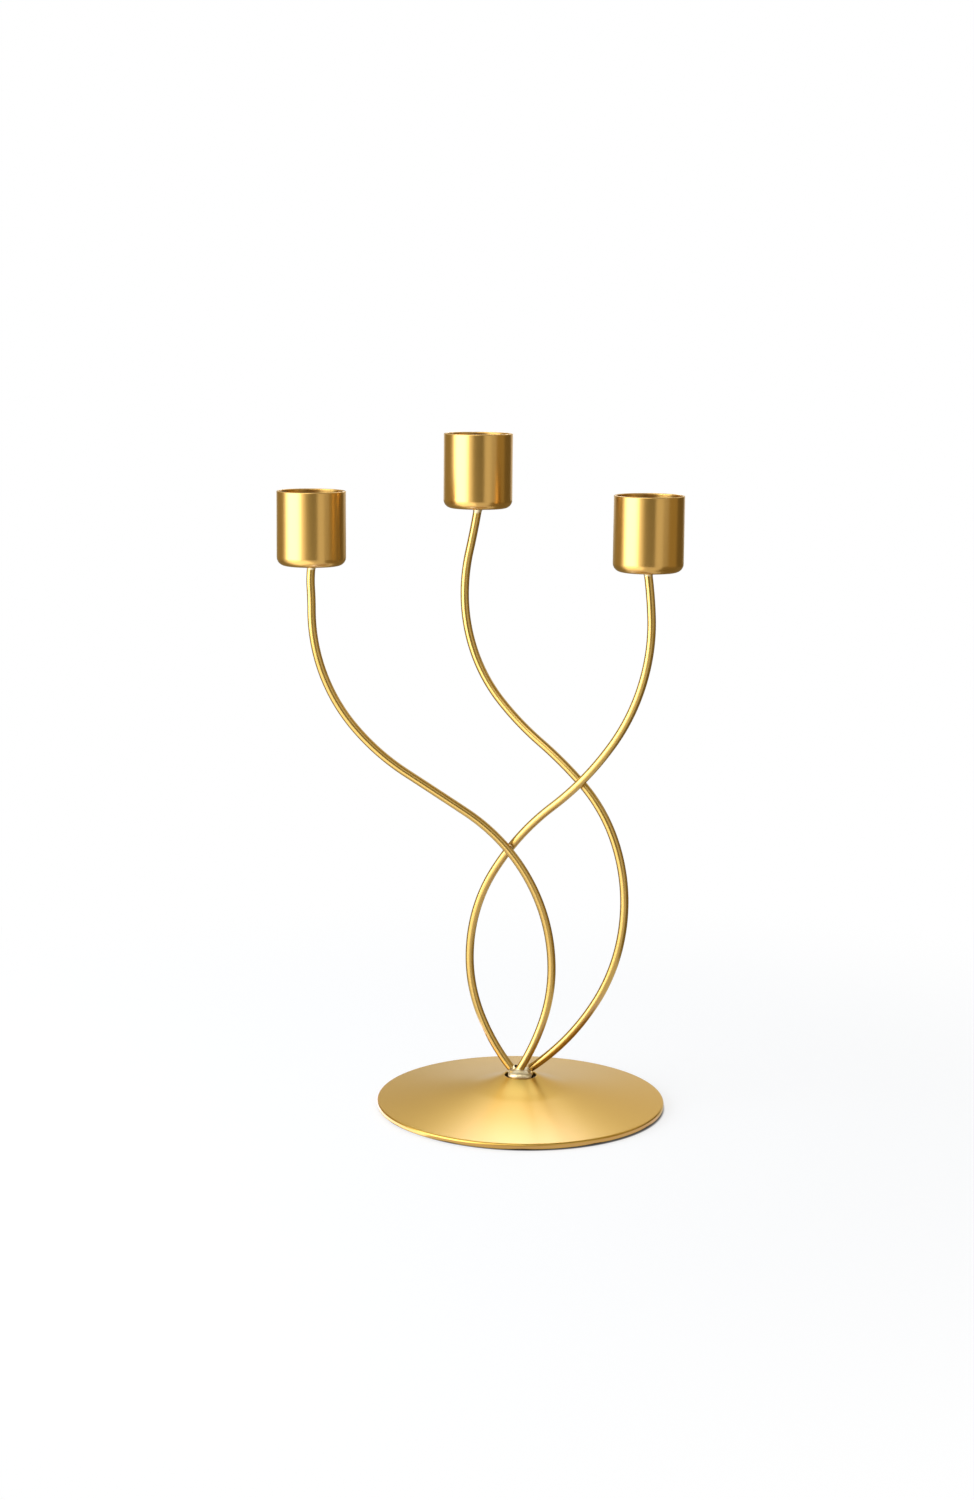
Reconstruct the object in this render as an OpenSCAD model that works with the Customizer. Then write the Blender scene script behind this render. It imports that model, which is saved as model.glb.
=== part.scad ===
// Candle stand with three arms. A round plate, pressed into a shallow cone, carries a small hub.
// Three bent wires stand on the hub, cross and touch on their way up, and each ends in a drawn
// cup for a taper candle. Millimetres, Z up. The origin is on the table, under the middle of the
// plate, and the front of the stand faces -Y.

/* [Base plate] */
// Diameter of the plate
base_d = 105; // [95:1:120]
// Thickness of the plate's sheet
plate_t = 2; // [1.6:0.1:2.4]
// Slope of the plate's outer flank, degrees
flank_slope = 6; // [4:0.5:8]
// Slope of the plate where it meets the hub, degrees
neck_slope = 27.5; // [24:0.5:32]
// Radius of the hollow curve between the flank and the neck
flank_curve_r = 60; // [50:1:70]
// Chamfer that breaks the plate's top edge
rim_break = 0.3; // [0.2:0.1:0.5]

/* [Pad] */
// How far the foam pad, glued under the plate, stays inside the plate's edge
pad_inset = 2; // [1.5:0.5:5]
// Thickness of the pad inside the hollow of the plate
pad_t = 1.4; // [1.2:0.1:2]
// Height of the plate's edge above the table
pad_show = 0.6; // [0.4:0.1:0.9]

/* [Hub] */
// Diameter of the round pocket pressed into the top of the plate
pocket_d = 11.4; // [11:0.1:13]
// Depth of that pocket
pocket_depth = 1.5; // [1:0.1:2]
// Diameter of the boss that stands in the pocket
boss_d = 9.2; // [8.8:0.1:10.4]
// Height of the boss above the edge of the pocket
boss_rise = 0.8; // [0.5:0.1:1.5]
// Diameter of the boss's spigot, which passes through the plate
spigot_d = 6; // [5.5:0.1:6.5]
// Gap round the spigot
spigot_gap = 0.1; // [0.05:0.05:0.2]
// How far the spigot stops short of the plate's underside
spigot_short = 0.2; // [0.1:0.1:0.4]
// Height of the braze on top of the boss
weld_h = 1.8; // [1.2:0.1:2.2]

/* [Screw and washer] */
// Diameter of the screw's shank
screw_d = 4; // [3.5:0.1:4.4]
// Gap between the shank and its hole
screw_gap = 0.05; // [0.05:0.05:0.1]
// Depth of the blind hole in the boss, from its lower end
thread_depth = 3.4; // [2.8:0.1:3.6]
// How far the screw stops short of the end of that hole
screw_short = 0.3; // [0.2:0.1:0.5]
// Diameter of the screw's head
head_d = 7.6; // [7:0.1:8.5]
// Height of the screw's head
head_h = 2.4; // [2:0.1:2.8]
// Width of the two slots of the cross recess
recess_w = 1; // [0.8:0.1:1.2]
// Length of the two slots of the cross recess
recess_l = 4.4; // [3.5:0.1:5]
// Depth of the cross recess
recess_depth = 1.3; // [1:0.1:1.6]
// Diameter of the washer
washer_d = 12; // [10:0.5:14]
// Thickness of the washer
washer_t = 1; // [0.8:0.1:1.2]
// Gap between the washer's hole and the shank
washer_gap = 0.15; // [0.1:0.05:0.25]

/* [Cups] */
// Outer diameter of a cup
cup_d = 24.5; // [23:0.1:27]
// Wall of a cup
cup_wall = 0.8; // [0.6:0.1:1]
// Height of a cup
cup_h = 26.4; // [22:0.2:32]
// Radius of a cup's outer bottom edge
cup_round = 3; // [2:0.2:4]
// Chamfer that breaks the edge of a cup's mouth
mouth_break = 0.2; // [0.1:0.1:0.2]
// Height of the braze under a cup
cup_weld_h = 0.9; // [0.6:0.1:1.2]
// Width of that braze round the wire
cup_weld_w = 0.7; // [0.5:0.1:1]

/* [Wire] */
// Diameter of the wire
wire_d = 3; // [2.6:0.1:3.4]
// Gap between two wires where they cross
cross_gap = 0.1; // [0.05:0.05:0.2]
// Radius of the spot of braze between two wires
cross_weld_r = 1.4; // [1.2:0.1:1.8]

/* [Left arm, measured from its foot; lean is the angle of the wire above the table, to the right] */
// Place of the foot, across from the middle of the hub
left_foot = -0.7; // [-1:0.1:-0.4]
// Turn of the upright plane in which the arm is bent
left_plane = -3; // [-6:1:0]
// Lean of the wire at its foot
left_foot_lean = 59; // [55:1:63]
// Lower bow, its widest point: across
left_bow_x = 11.5; // [9:0.5:14]
// Lower bow, its widest point: up
left_bow_z = 38; // [34:0.5:42]
// Flat stretch past the crossing: across
left_sway_x = -20; // [-24:0.5:-16]
// Flat stretch past the crossing: up
left_sway_z = 96; // [92:0.5:100]
// Flat stretch past the crossing: lean of the wire
left_sway_lean = 147; // [143:1:151]
// Shoulder, where the wire begins to turn up: across
left_shoulder_x = -60.5; // [-64:0.5:-56]
// Shoulder: up
left_shoulder_z = 126.5; // [123:0.5:131]
// Shoulder: lean of the wire
left_shoulder_lean = 130; // [126:1:134]
// Upper bow, its widest point: across
left_crest_x = -75.5; // [-80:0.5:-72]
// Upper bow, its widest point: up
left_crest_z = 168; // [162:0.5:172]
// Cup end: across
left_cup_x = -75.5; // [-78:0.1:-73]
// Cup end: up
left_cup_z = 183.8; // [180:0.1:190]
// Cup end: lean of the wire
left_cup_lean = 83; // [80:1:90]

/* [Middle arm, measured from its foot] */
// Place of the foot, across from the middle of the hub
middle_foot = 3.7; // [3.4:0.1:3.8]
// Turn of the upright plane in which the arm is bent
middle_plane = -22; // [-24:1:-20]
// Lean of the wire at its foot
middle_foot_lean = 37; // [34:1:41]
// Lower bow, its widest point: across
middle_bow_x = 35; // [32:0.5:38]
// Lower bow, its widest point: up
middle_bow_z = 64.5; // [61:0.5:68]
// Stretch at the crossing: across
middle_sway_x = 18; // [16:0.5:20]
// Stretch at the crossing: up
middle_sway_z = 107.5; // [104:0.5:111]
// Stretch at the crossing: lean of the wire
middle_sway_lean = 135; // [131:1:139]
// Shoulder, where the wire begins to turn up: across
middle_shoulder_x = -13; // [-15:0.5:-11]
// Shoulder: up
middle_shoulder_z = 135; // [131:0.5:139]
// Shoulder: lean of the wire
middle_shoulder_lean = 132; // [128:1:136]
// Upper bow, its widest point: across
middle_crest_x = -27.5; // [-30:0.5:-25]
// Upper bow, its widest point: up
middle_crest_z = 173.5; // [169:0.5:178]
// Cup end: across
middle_cup_x = -22.7; // [-25:0.1:-21]
// Cup end: up
middle_cup_z = 203.6; // [198:0.1:210]
// Cup end: lean of the wire
middle_cup_lean = 80; // [77:1:84]

/* [Right arm, measured from its foot] */
// Place of the foot, across from the middle of the hub
right_foot = -3.4; // [-3.6:0.1:-3.2]
// Place of the foot, behind the middle of the hub
right_foot_back = 1; // [0.7:0.1:1.2]
// Turn of the upright plane in which the arm is bent
right_plane = -23.5; // [-25:0.5:-22]
// Lean of the wire at its foot
right_foot_lean = 133; // [129:1:136]
// Lower bow, its widest point: across
right_bow_x = -17; // [-20:0.5:-14]
// Lower bow, its widest point: up
right_bow_z = 40.5; // [37:0.5:45]
// Stretch between the two crossings: across
right_sway_x = 15; // [13:0.5:17]
// Stretch between the two crossings: up
right_sway_z = 99; // [95:0.5:103]
// Stretch between the two crossings: lean of the wire
right_sway_lean = 39; // [36:1:42]
// Upper bow: across
right_crest_x = 50; // [47:0.5:53]
// Upper bow: up
right_crest_z = 153.5; // [150:0.5:158]
// Upper bow: lean of the wire
right_crest_lean = 80; // [77:1:83]
// Cup end: across
right_cup_x = 49.3; // [47:0.1:52]
// Cup end: up
right_cup_z = 184.3; // [180:0.1:190]
// Cup end: lean of the wire
right_cup_lean = 99; // [95:1:102]

/* [Hidden] */
$fn = 96;
// Straight steps along the plate's hollow curve
curve_steps = 10;

wire_r = wire_d / 2;
// A cutter reaches this far past what it cuts
past = 1;
// A wire that turns by less than this many degrees between two points is drawn straight
straight_turn = 0.2;
// Two leans whose directions differ by less than this count as one
same_lean = 1e-6;
// Sides of the wire's section
wire_sides = 12;
// Longest step between two rings of the wire's section
ring_step = 4.5;
// Steps along each bend when two arms are searched for their crossing
cross_steps = 12;

// Heights and radii of the plate, from its edge inwards
base_r = base_d / 2;
pocket_r = pocket_d / 2;
rim_h = plate_t / cos(flank_slope);
rim_top = pad_show + rim_h;
curve_end_r = pocket_r + flank_curve_r * (sin(neck_slope) - sin(flank_slope));
curve_end_z = rim_top + (base_r - curve_end_r) * tan(flank_slope);
lip_z = curve_end_z + flank_curve_r * (cos(flank_slope) - cos(neck_slope));
pocket_z = lip_z - pocket_depth;
under_z = pocket_z - plate_t;
spigot_hole_r = spigot_d / 2 + spigot_gap;
curve_centre = [pocket_r + flank_curve_r * sin(neck_slope), lip_z + flank_curve_r * cos(neck_slope)];

// The boss, its spigot and the screw that holds it
hub_top = lip_z + boss_rise;
boss_r = boss_d / 2;
spigot_z = under_z + spigot_short;
thread_end_z = spigot_z + thread_depth;
head_top_z = under_z - washer_t;

// Unit vector at an angle, and the angle of a vector
function aim(a) = [cos(a), sin(a)];
function angle(v) = atan2(v[1], v[0]);

// A bend is [start, lean at the start, end]. Two bends join two stations, and they meet where
// the wire passes from one to the other without a kink.
function meet(p, a, q, b) =
    let(v = q - p,
        t = aim(a) + aim(b),
        k = 2 * (1 - aim(a) * aim(b)),
        d = abs(k) < same_lean
            ? v * v / (4 * v * aim(b))
            : (sqrt((v * t) * (v * t) + k * v * v) - v * t) / k)
    (p + q + d * (aim(a) - aim(b))) / 2;
function two_bends(s, e) =
    let(p = [s[0], s[1]], q = [e[0], e[1]], m = meet(p, s[2], q, e[2]))
    [[p, s[2], m], [m, 2 * angle(m - p) - s[2], q]];

// A foot's end is cut square and touches the top of the hub with its lowest point
function foot_z(lean) = hub_top + wire_r * abs(cos(lean));

// An arm's bends, from its stations [across, up, lean] above the foot
function bends(lean, stations) =
    let(z = foot_z(lean), all = concat([[0, 0, lean]], stations))
    [for (i = [0 : len(all) - 2])
        each two_bends(all[i] + [0, z, 0], all[i + 1] + [0, z, 0])];

// How far a bend turns, to the left if positive, and where it lies at the share k of its length
function turn(b) = let(a = angle(b[2] - b[0]) - b[1]) 2 * (a - 360 * round(a / 360));
function bend_r(b) = norm(b[2] - b[0]) / (2 * sin(abs(turn(b)) / 2));
function bend_centre(b) = b[0] + bend_r(b) * aim(b[1] + 90 * sign(turn(b)));
function lean_at(b, k) = b[1] + k * turn(b);
function bend_point(b, k) =
    abs(turn(b)) < straight_turn
        ? b[0] + k * (b[2] - b[0])
        : bend_centre(b) + bend_r(b) * aim(lean_at(b, k) - 90 * sign(turn(b)));

left_bends = bends(left_foot_lean, [
    [left_bow_x, left_bow_z, 90],
    [left_sway_x, left_sway_z, left_sway_lean],
    [left_shoulder_x, left_shoulder_z, left_shoulder_lean],
    [left_crest_x, left_crest_z, 90],
    [left_cup_x, left_cup_z, left_cup_lean]]);
middle_bends = bends(middle_foot_lean, [
    [middle_bow_x, middle_bow_z, 90],
    [middle_sway_x, middle_sway_z, middle_sway_lean],
    [middle_shoulder_x, middle_shoulder_z, middle_shoulder_lean],
    [middle_crest_x, middle_crest_z, 90],
    [middle_cup_x, middle_cup_z, middle_cup_lean]]);
right_bends = bends(right_foot_lean, [
    [right_bow_x, right_bow_z, 90],
    [right_sway_x, right_sway_z, right_sway_lean],
    [right_crest_x, right_crest_z, right_crest_lean],
    [right_cup_x, right_cup_z, right_cup_lean]]);

// Points of an arm as the front view shows them: [x, z, lean]. The feet nearly touch, so the
// two bends from the foot to the lower bow are left out of the search for a crossing.
function front(foot, plane, path) =
    [for (n = [2 : len(path) - 1]) for (i = [0 : cross_steps - 1])
        let(b = path[n], k = i / cross_steps, c = bend_point(b, k))
        [foot + c[0] * cos(plane), c[1], lean_at(b, k)]];
function heading(plane, lean) = [cos(lean) * cos(plane), cos(lean) * sin(plane), sin(lean)];

// Where two arms cross in the front view: [x, z, lean of the first, lean of the second]
function crossing(one, plane_1, two, plane_2) =
    let(gaps = [for (p = one) [for (q = two) norm([p[0] - q[0], p[1] - q[1]])]],
        least = min([for (row = gaps) min(row)]),
        ij = [for (i = [0 : len(one) - 1]) for (j = [0 : len(two) - 1]) if (gaps[i][j] == least) [i, j]][0],
        p = one[ij[0]],
        q = two[ij[1]],
        u = [cos(p[2]) * cos(plane_1), sin(p[2])],
        w = [cos(q[2]) * cos(plane_2), sin(q[2])],
        s = ((q[0] - p[0]) * w[1] - (q[1] - p[1]) * w[0]) / (u[0] * w[1] - u[1] * w[0]))
    [p[0] + s * u[0], p[1] + s * u[1], p[2], q[2]];

// How far apart in depth two crossing wires are, so that they pass each other at the named gap
function depth_apart(c, plane_1, plane_2) =
    let(n = cross(heading(plane_1, c[2]), heading(plane_2, c[3])))
    (wire_d + cross_gap) * norm(n) / abs(n[1]);

left_front = front(left_foot, left_plane, left_bends);
middle_front = front(middle_foot, middle_plane, middle_bends);
right_front = front(right_foot, right_plane, right_bends);
low_cross = crossing(left_front, left_plane, right_front, right_plane);
high_cross = crossing(middle_front, middle_plane, right_front, right_plane);

// The right arm sets the depth: the left arm passes in front of it, the middle arm behind it
function right_y(x) = right_foot_back + (x - right_foot) * tan(right_plane);
low_left_y = right_y(low_cross[0]) - depth_apart(low_cross, left_plane, right_plane);
high_middle_y = right_y(high_cross[0]) + depth_apart(high_cross, middle_plane, right_plane);
left_foot_back = low_left_y - (low_cross[0] - left_foot) * tan(left_plane);
middle_foot_back = high_middle_y - (high_cross[0] - middle_foot) * tan(middle_plane);

// The point halfway between two crossing wires, from a point on each
function halfway(p1, t1, p2, t2) =
    let(w = p1 - p2, b = t1 * t2, d = t1 * w, e = t2 * w,
        s = (b * e - d) / (1 - b * b), r = (e - b * d) / (1 - b * b))
    (p1 + s * t1 + p2 + r * t2) / 2;

// Last point of an arm, in the part's own frame
function end_point(foot, back, plane, path) =
    let(e = path[len(path) - 1][2]) [foot + e[0] * cos(plane), back + e[0] * sin(plane), e[1]];
function cup_seat(end, lean) = end + [0, 0, wire_r * abs(cos(lean))];
left_seat = cup_seat(end_point(left_foot, left_foot_back, left_plane, left_bends), left_cup_lean);
middle_seat = cup_seat(
    end_point(middle_foot, middle_foot_back, middle_plane, middle_bends), middle_cup_lean);
right_seat = cup_seat(end_point(right_foot, right_foot_back, right_plane, right_bends), right_cup_lean);

// A point of the plate's hollow curve, at a slope and a depth under its top side
function hollow(slope, depth) = curve_centre - (flank_curve_r + depth) * aim(90 - slope);

// Section of the pressed plate, from the axis outwards
module plate_section() {
    slopes = [for (i = [0 : curve_steps]) flank_slope + i * (neck_slope - flank_slope) / curve_steps];
    rim = [
        [base_r, pad_show],
        [base_r, rim_top - rim_break],
        [base_r - rim_break, rim_top + rim_break * tan(flank_slope)]];
    difference() {
        union() {
            polygon(concat(
                rim,
                [for (a = slopes) hollow(a, 0)],
                [for (i = [curve_steps : -1 : 0]) hollow(slopes[i], plate_t)]));
            translate([spigot_hole_r, under_z]) square([pocket_r + plate_t - spigot_hole_r, plate_t]);
        }
        translate([0, pocket_z]) square([pocket_r, pocket_depth + past]);
    }
}

module base_plate() {
    color("goldenrod") rotate_extrude() plate_section();
}

// The pad lies flat on the table, and its edge is pressed up against the plate's underside
module base_pad() {
    flat_r = base_r - (pad_t - pad_show) / tan(flank_slope);
    pad_r = base_r - pad_inset;
    edge_z = pad_show + pad_inset * tan(flank_slope);
    color("dimgray") rotate_extrude()
        polygon([[0, 0], [pad_r, 0], [pad_r, edge_z], [flat_r, pad_t], [0, pad_t]]);
}

module hub_boss() {
    color("gold") difference() {
        union() {
            translate([0, 0, pocket_z]) cylinder(h = hub_top - pocket_z, r = boss_r);
            translate([0, 0, spigot_z]) cylinder(h = pocket_z - spigot_z, d = spigot_d);
        }
        translate([0, 0, spigot_z - past]) cylinder(h = thread_depth + past, r = screw_d / 2 + screw_gap);
    }
}

module hub_screw() {
    color("silver") difference() {
        union() {
            translate([0, 0, head_top_z - head_h]) cylinder(h = head_h, d = head_d);
            translate([0, 0, head_top_z])
                cylinder(h = thread_end_z - screw_short - head_top_z, d = screw_d);
        }
        for (a = [0, 90])
            rotate(a)
                translate([-recess_l / 2, -recess_w / 2, head_top_z - head_h - past])
                    cube([recess_l, recess_w, recess_depth + past]);
    }
}

module hub_washer() {
    color("lightgray") translate([0, 0, head_top_z]) difference() {
        cylinder(h = washer_t, d = washer_d);
        translate([0, 0, -past]) cylinder(h = washer_t + 2 * past, r = screw_d / 2 + washer_gap);
    }
}

// Stands what is drawn in an arm's plane upright on the arm's foot
module stand_up(foot, back, plane) {
    translate([foot, back, 0]) rotate(plane) rotate([90, 0, 0]) children();
}

// A ring of points round the wire, square to it
function ring(c, lean) =
    [for (i = [0 : wire_sides - 1])
        let(a = 360 * i / wire_sides)
        [c[0] - wire_r * cos(a) * sin(lean), c[1] + wire_r * cos(a) * cos(lean), wire_r * sin(a)]];
function steps(b) = ceil(norm(b[2] - b[0]) / ring_step);

// The bent wire as one closed surface, drawn in the plane in which the arm is bent
module wire(path) {
    last = path[len(path) - 1];
    rings = [
        for (b = path) for (i = [0 : steps(b) - 1])
            let(k = i / steps(b)) ring(bend_point(b, k), lean_at(b, k)),
        ring(last[2], lean_at(last, 1))];
    n = wire_sides;
    top = len(rings) - 1;
    sides = [for (k = [0 : top - 1]) for (i = [0 : n - 1])
        let(j = (i + 1) % n) [k * n + i, (k + 1) * n + i, (k + 1) * n + j, k * n + j]];
    foot_end = [for (i = [0 : n - 1]) i];
    cup_end = [for (i = [0 : n - 1]) top * n + n - 1 - i];
    polyhedron(points = [for (r = rings) each r], faces = concat([foot_end, cup_end], sides));
}

module arm_left() {
    color("goldenrod") stand_up(left_foot, left_foot_back, left_plane) wire(left_bends);
}

module arm_middle() {
    color("goldenrod") stand_up(middle_foot, middle_foot_back, middle_plane) wire(middle_bends);
}

module arm_right() {
    color("goldenrod") stand_up(right_foot, right_foot_back, right_plane) wire(right_bends);
}

// Cutter in the shape of a wire's first bend, where it passes through the braze on the hub
module foot_cut(foot, back, plane, b) {
    stand_up(foot, back, plane)
        translate(bend_centre(b))
            rotate(b[1] - 90 * sign(turn(b)) + min(turn(b), 0))
                rotate_extrude(angle = abs(turn(b))) translate([bend_r(b), 0]) circle(wire_r);
}

// Braze that fills the spaces between the three feet: a low dome, cut away where the wires pass
module hub_weld() {
    dome_r = (boss_r * boss_r + weld_h * weld_h) / (2 * weld_h);
    color("khaki") difference() {
        intersection() {
            translate([0, 0, hub_top + weld_h - dome_r]) sphere(dome_r);
            translate([0, 0, hub_top]) cylinder(h = weld_h + past, r = boss_r + past);
        }
        foot_cut(left_foot, left_foot_back, left_plane, left_bends[0]);
        foot_cut(middle_foot, middle_foot_back, middle_plane, middle_bends[0]);
        foot_cut(right_foot, right_foot_back, right_plane, right_bends[0]);
    }
}

// Outline of a round cup or of its inside, from the axis outwards
module cup_outline(r, h, round_r) {
    translate([0, round_r]) square([r, h - round_r]);
    square([r - round_r, round_r + past]);
    translate([r - round_r, round_r]) circle(round_r);
}

module cup() {
    cup_r = cup_d / 2;
    bore_r = cup_r - cup_wall;
    rotate_extrude() difference() {
        intersection() {
            cup_outline(cup_r, cup_h, cup_round);
            square([cup_r, cup_h]);
        }
        translate([0, cup_wall]) cup_outline(bore_r, cup_h, cup_round - cup_wall);
        polygon([[bore_r - past, cup_h], [bore_r, cup_h - mouth_break], [bore_r + mouth_break, cup_h]]);
        polygon([[cup_r - mouth_break, cup_h], [cup_r, cup_h - mouth_break], [cup_r + past, cup_h]]);
    }
}

module cup_left() {
    color("goldenrod") translate(left_seat) cup();
}

module cup_middle() {
    color("goldenrod") translate(middle_seat) cup();
}

module cup_right() {
    color("goldenrod") translate(right_seat) cup();
}

// Braze round the top of one wire: a small cone under the cup, cut away where the wire passes
module cup_weld(seat, plane, lean) {
    end_drop = wire_r * abs(cos(lean));
    translate(seat) difference() {
        translate([0, 0, -cup_weld_h])
            cylinder(h = cup_weld_h, r1 = wire_r + end_drop, r2 = wire_r + cup_weld_w);
        translate([0, 0, -end_drop])
            rotate(plane) rotate([0, 90 - lean, 0])
                translate([0, 0, -wire_d]) cylinder(h = wire_d, r = wire_r);
    }
}

module cup_welds() {
    color("khaki") {
        cup_weld(left_seat, left_plane, left_cup_lean);
        cup_weld(middle_seat, middle_plane, middle_cup_lean);
        cup_weld(right_seat, right_plane, right_cup_lean);
    }
}

// A straight piece of wire, for a cut, centred on a point that the wire passes through
module short_wire(p, plane, lean) {
    translate(p) rotate(plane) rotate([0, 90 - lean, 0])
        cylinder(h = 4 * wire_d, r = wire_r, center = true);
}

// Braze in the nook where two wires cross and touch
module cross_weld(c, y_1, plane_1, y_2, plane_2) {
    p1 = [c[0], y_1, c[1]];
    p2 = [c[0], y_2, c[1]];
    difference() {
        translate(halfway(p1, heading(plane_1, c[2]), p2, heading(plane_2, c[3])))
            rotate([90, 0, (plane_1 + plane_2) / 2])
                sphere(cross_weld_r);
        short_wire(p1, plane_1, c[2]);
        short_wire(p2, plane_2, c[3]);
    }
}

module cross_welds() {
    color("khaki") {
        cross_weld(low_cross, low_left_y, left_plane, right_y(low_cross[0]), right_plane);
        cross_weld(high_cross, high_middle_y, middle_plane, right_y(high_cross[0]), right_plane);
    }
}

base_plate();
base_pad();
hub_boss();
hub_screw();
hub_washer();
hub_weld();
arm_left();
arm_middle();
arm_right();
cup_left();
cup_middle();
cup_right();
cup_welds();
cross_welds();
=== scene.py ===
import math

import bmesh
import bpy
import numpy as np
from mathutils import Matrix, Vector, noise


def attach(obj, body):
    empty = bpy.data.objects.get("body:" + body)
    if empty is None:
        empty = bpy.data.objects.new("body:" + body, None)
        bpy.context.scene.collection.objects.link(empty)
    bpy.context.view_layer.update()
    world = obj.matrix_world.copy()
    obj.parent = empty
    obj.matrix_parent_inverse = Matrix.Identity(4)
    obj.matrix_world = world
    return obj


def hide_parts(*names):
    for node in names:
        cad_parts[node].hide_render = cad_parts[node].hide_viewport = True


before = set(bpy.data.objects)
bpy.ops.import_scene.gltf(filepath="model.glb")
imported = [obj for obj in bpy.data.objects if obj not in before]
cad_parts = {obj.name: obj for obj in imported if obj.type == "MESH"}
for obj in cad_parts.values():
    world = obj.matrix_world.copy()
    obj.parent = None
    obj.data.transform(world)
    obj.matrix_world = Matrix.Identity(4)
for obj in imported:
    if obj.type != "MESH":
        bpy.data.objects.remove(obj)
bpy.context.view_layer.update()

# The camera stands in front of the candle stand, a little above its cups, and looks down on the
# plate. It is tipped sideways by half a degree, as in the photograph.
camera_place = Vector((-0.01332, -0.8657, 0.2814))
look_down, tip = math.radians(9.8), math.radians(0.512)
lens_mm, nearest_seen = 58.91, 0.02


def placed(name, data):
    """A new object in the scene for a mesh, a curve, a lamp or the camera."""
    made = bpy.data.objects.new(name, data)
    bpy.context.scene.collection.objects.link(made)
    return made


ahead = Vector((0, math.cos(look_down), -math.sin(look_down)))
above = Vector((0, math.sin(look_down), math.cos(look_down)))
sideways = Vector((1, 0, 0))
to_right = math.cos(tip) * sideways + math.sin(tip) * above
upright = math.cos(tip) * above - math.sin(tip) * sideways
camera = placed("camera", bpy.data.cameras.new("camera"))
camera.data.lens = lens_mm
camera.data.clip_start = nearest_seen
facing = Matrix((to_right, upright, -ahead)).transposed()
camera.matrix_world = Matrix.Translation(camera_place) @ facing.to_4x4()
bpy.context.scene.camera = camera
bpy.context.scene.view_settings.view_transform = "Standard"

# Base plate: pressed brass sheet of 2 mm, a shallow cone with hollow flanks, softly rounded edges
# and a small round pocket in the middle. It is brushed in circles and plated satin gold. From here
# on, pieces are drawn in millimetres and made in metres.
MM = 0.001
plate_r, plate_t, pad_show = 52.5, 2.0, 0.6
flank_slope, neck_slope = math.radians(6), math.radians(27.5)
hollow_r, pocket_r, pocket_depth, pocket_wall, spigot_hole_r = 60.0, 5.7, 1.5, 2.0, 3.1
edge_round, foot_round, lip_round = 0.8, 0.55, 0.45
rim_top = pad_show + plate_t / math.cos(flank_slope)
hollow_end_r = pocket_r + hollow_r * (math.sin(neck_slope) - math.sin(flank_slope))
hollow_end_z = rim_top + (plate_r - hollow_end_r) * math.tan(flank_slope)
hollow_centre = Vector((hollow_end_r + hollow_r * math.sin(flank_slope),
                        hollow_end_z + hollow_r * math.cos(flank_slope)))
lip_z = hollow_end_z + hollow_r * (math.cos(flank_slope) - math.cos(neck_slope))
pocket_z = lip_z - pocket_depth
under_z = pocket_z - plate_t
# The hollow above gives the height of the neck, and the underside. The top follows two sweeps
# instead, which meet where its slope is bend_slope.
bend_slope, rim_slope, neck_sweep_r = math.radians(10), math.radians(5.2), 48.4
bend_r = pocket_r + neck_sweep_r * (math.sin(neck_slope) - math.sin(bend_slope))
bend_z = lip_z - neck_sweep_r * (math.cos(bend_slope) - math.cos(neck_slope))
flank_sweep_r = (plate_r - bend_r) / (math.sin(bend_slope) - math.sin(rim_slope))


def rounded(corners, closed, steps=8, guard=0.06):
    """An outline of (radius, height) from corners (radius, height, rounding), each made an arc
    with a point close to either end, so that the smooth shading stays inside the arc."""
    outline = []
    for i, corner in enumerate(corners):
        here, rounding = Vector(corner[:2]), corner[2]
        inside = closed or 0 < i < len(corners) - 1
        if not (rounding and inside):
            outline.append(here)
            continue
        back = (Vector(corners[i - 1][:2]) - here).normalized()
        on = (Vector(corners[(i + 1) % len(corners)][:2]) - here).normalized()
        half = back.angle(on) / 2
        reach = rounding / math.tan(half)
        middle = here + (back + on).normalized() * rounding / math.sin(half)
        start, end = here + back * reach - middle, here + on * reach - middle
        turn = math.atan2(start.cross(end), start.dot(end))
        outline.append(middle + start + back * guard)
        for k in range(steps + 1):
            a = turn * k / steps
            outline.append(middle + Vector((
                start.x * math.cos(a) - start.y * math.sin(a),
                start.x * math.sin(a) + start.y * math.cos(a))))
        outline.append(middle + end + on * guard)
    return outline


def as_mesh(name, build):
    """The mesh of a finished bmesh, which is then let go."""
    mesh = bpy.data.meshes.new(name)
    build.to_mesh(mesh)
    build.free()
    return mesh


def finished(name, build, sharp=40, same_place=1e-7):
    """A smooth mesh object from a bmesh, with the faces outwards and sharp edges kept sharp."""
    bmesh.ops.remove_doubles(build, verts=build.verts, dist=same_place)
    bmesh.ops.recalc_face_normals(build, faces=build.faces)
    mesh = as_mesh(name, build)
    mesh.polygons.foreach_set("use_smooth", [True] * len(mesh.polygons))
    mesh.set_sharp_from_angle(angle=math.radians(sharp))
    return placed(name, mesh)


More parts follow.
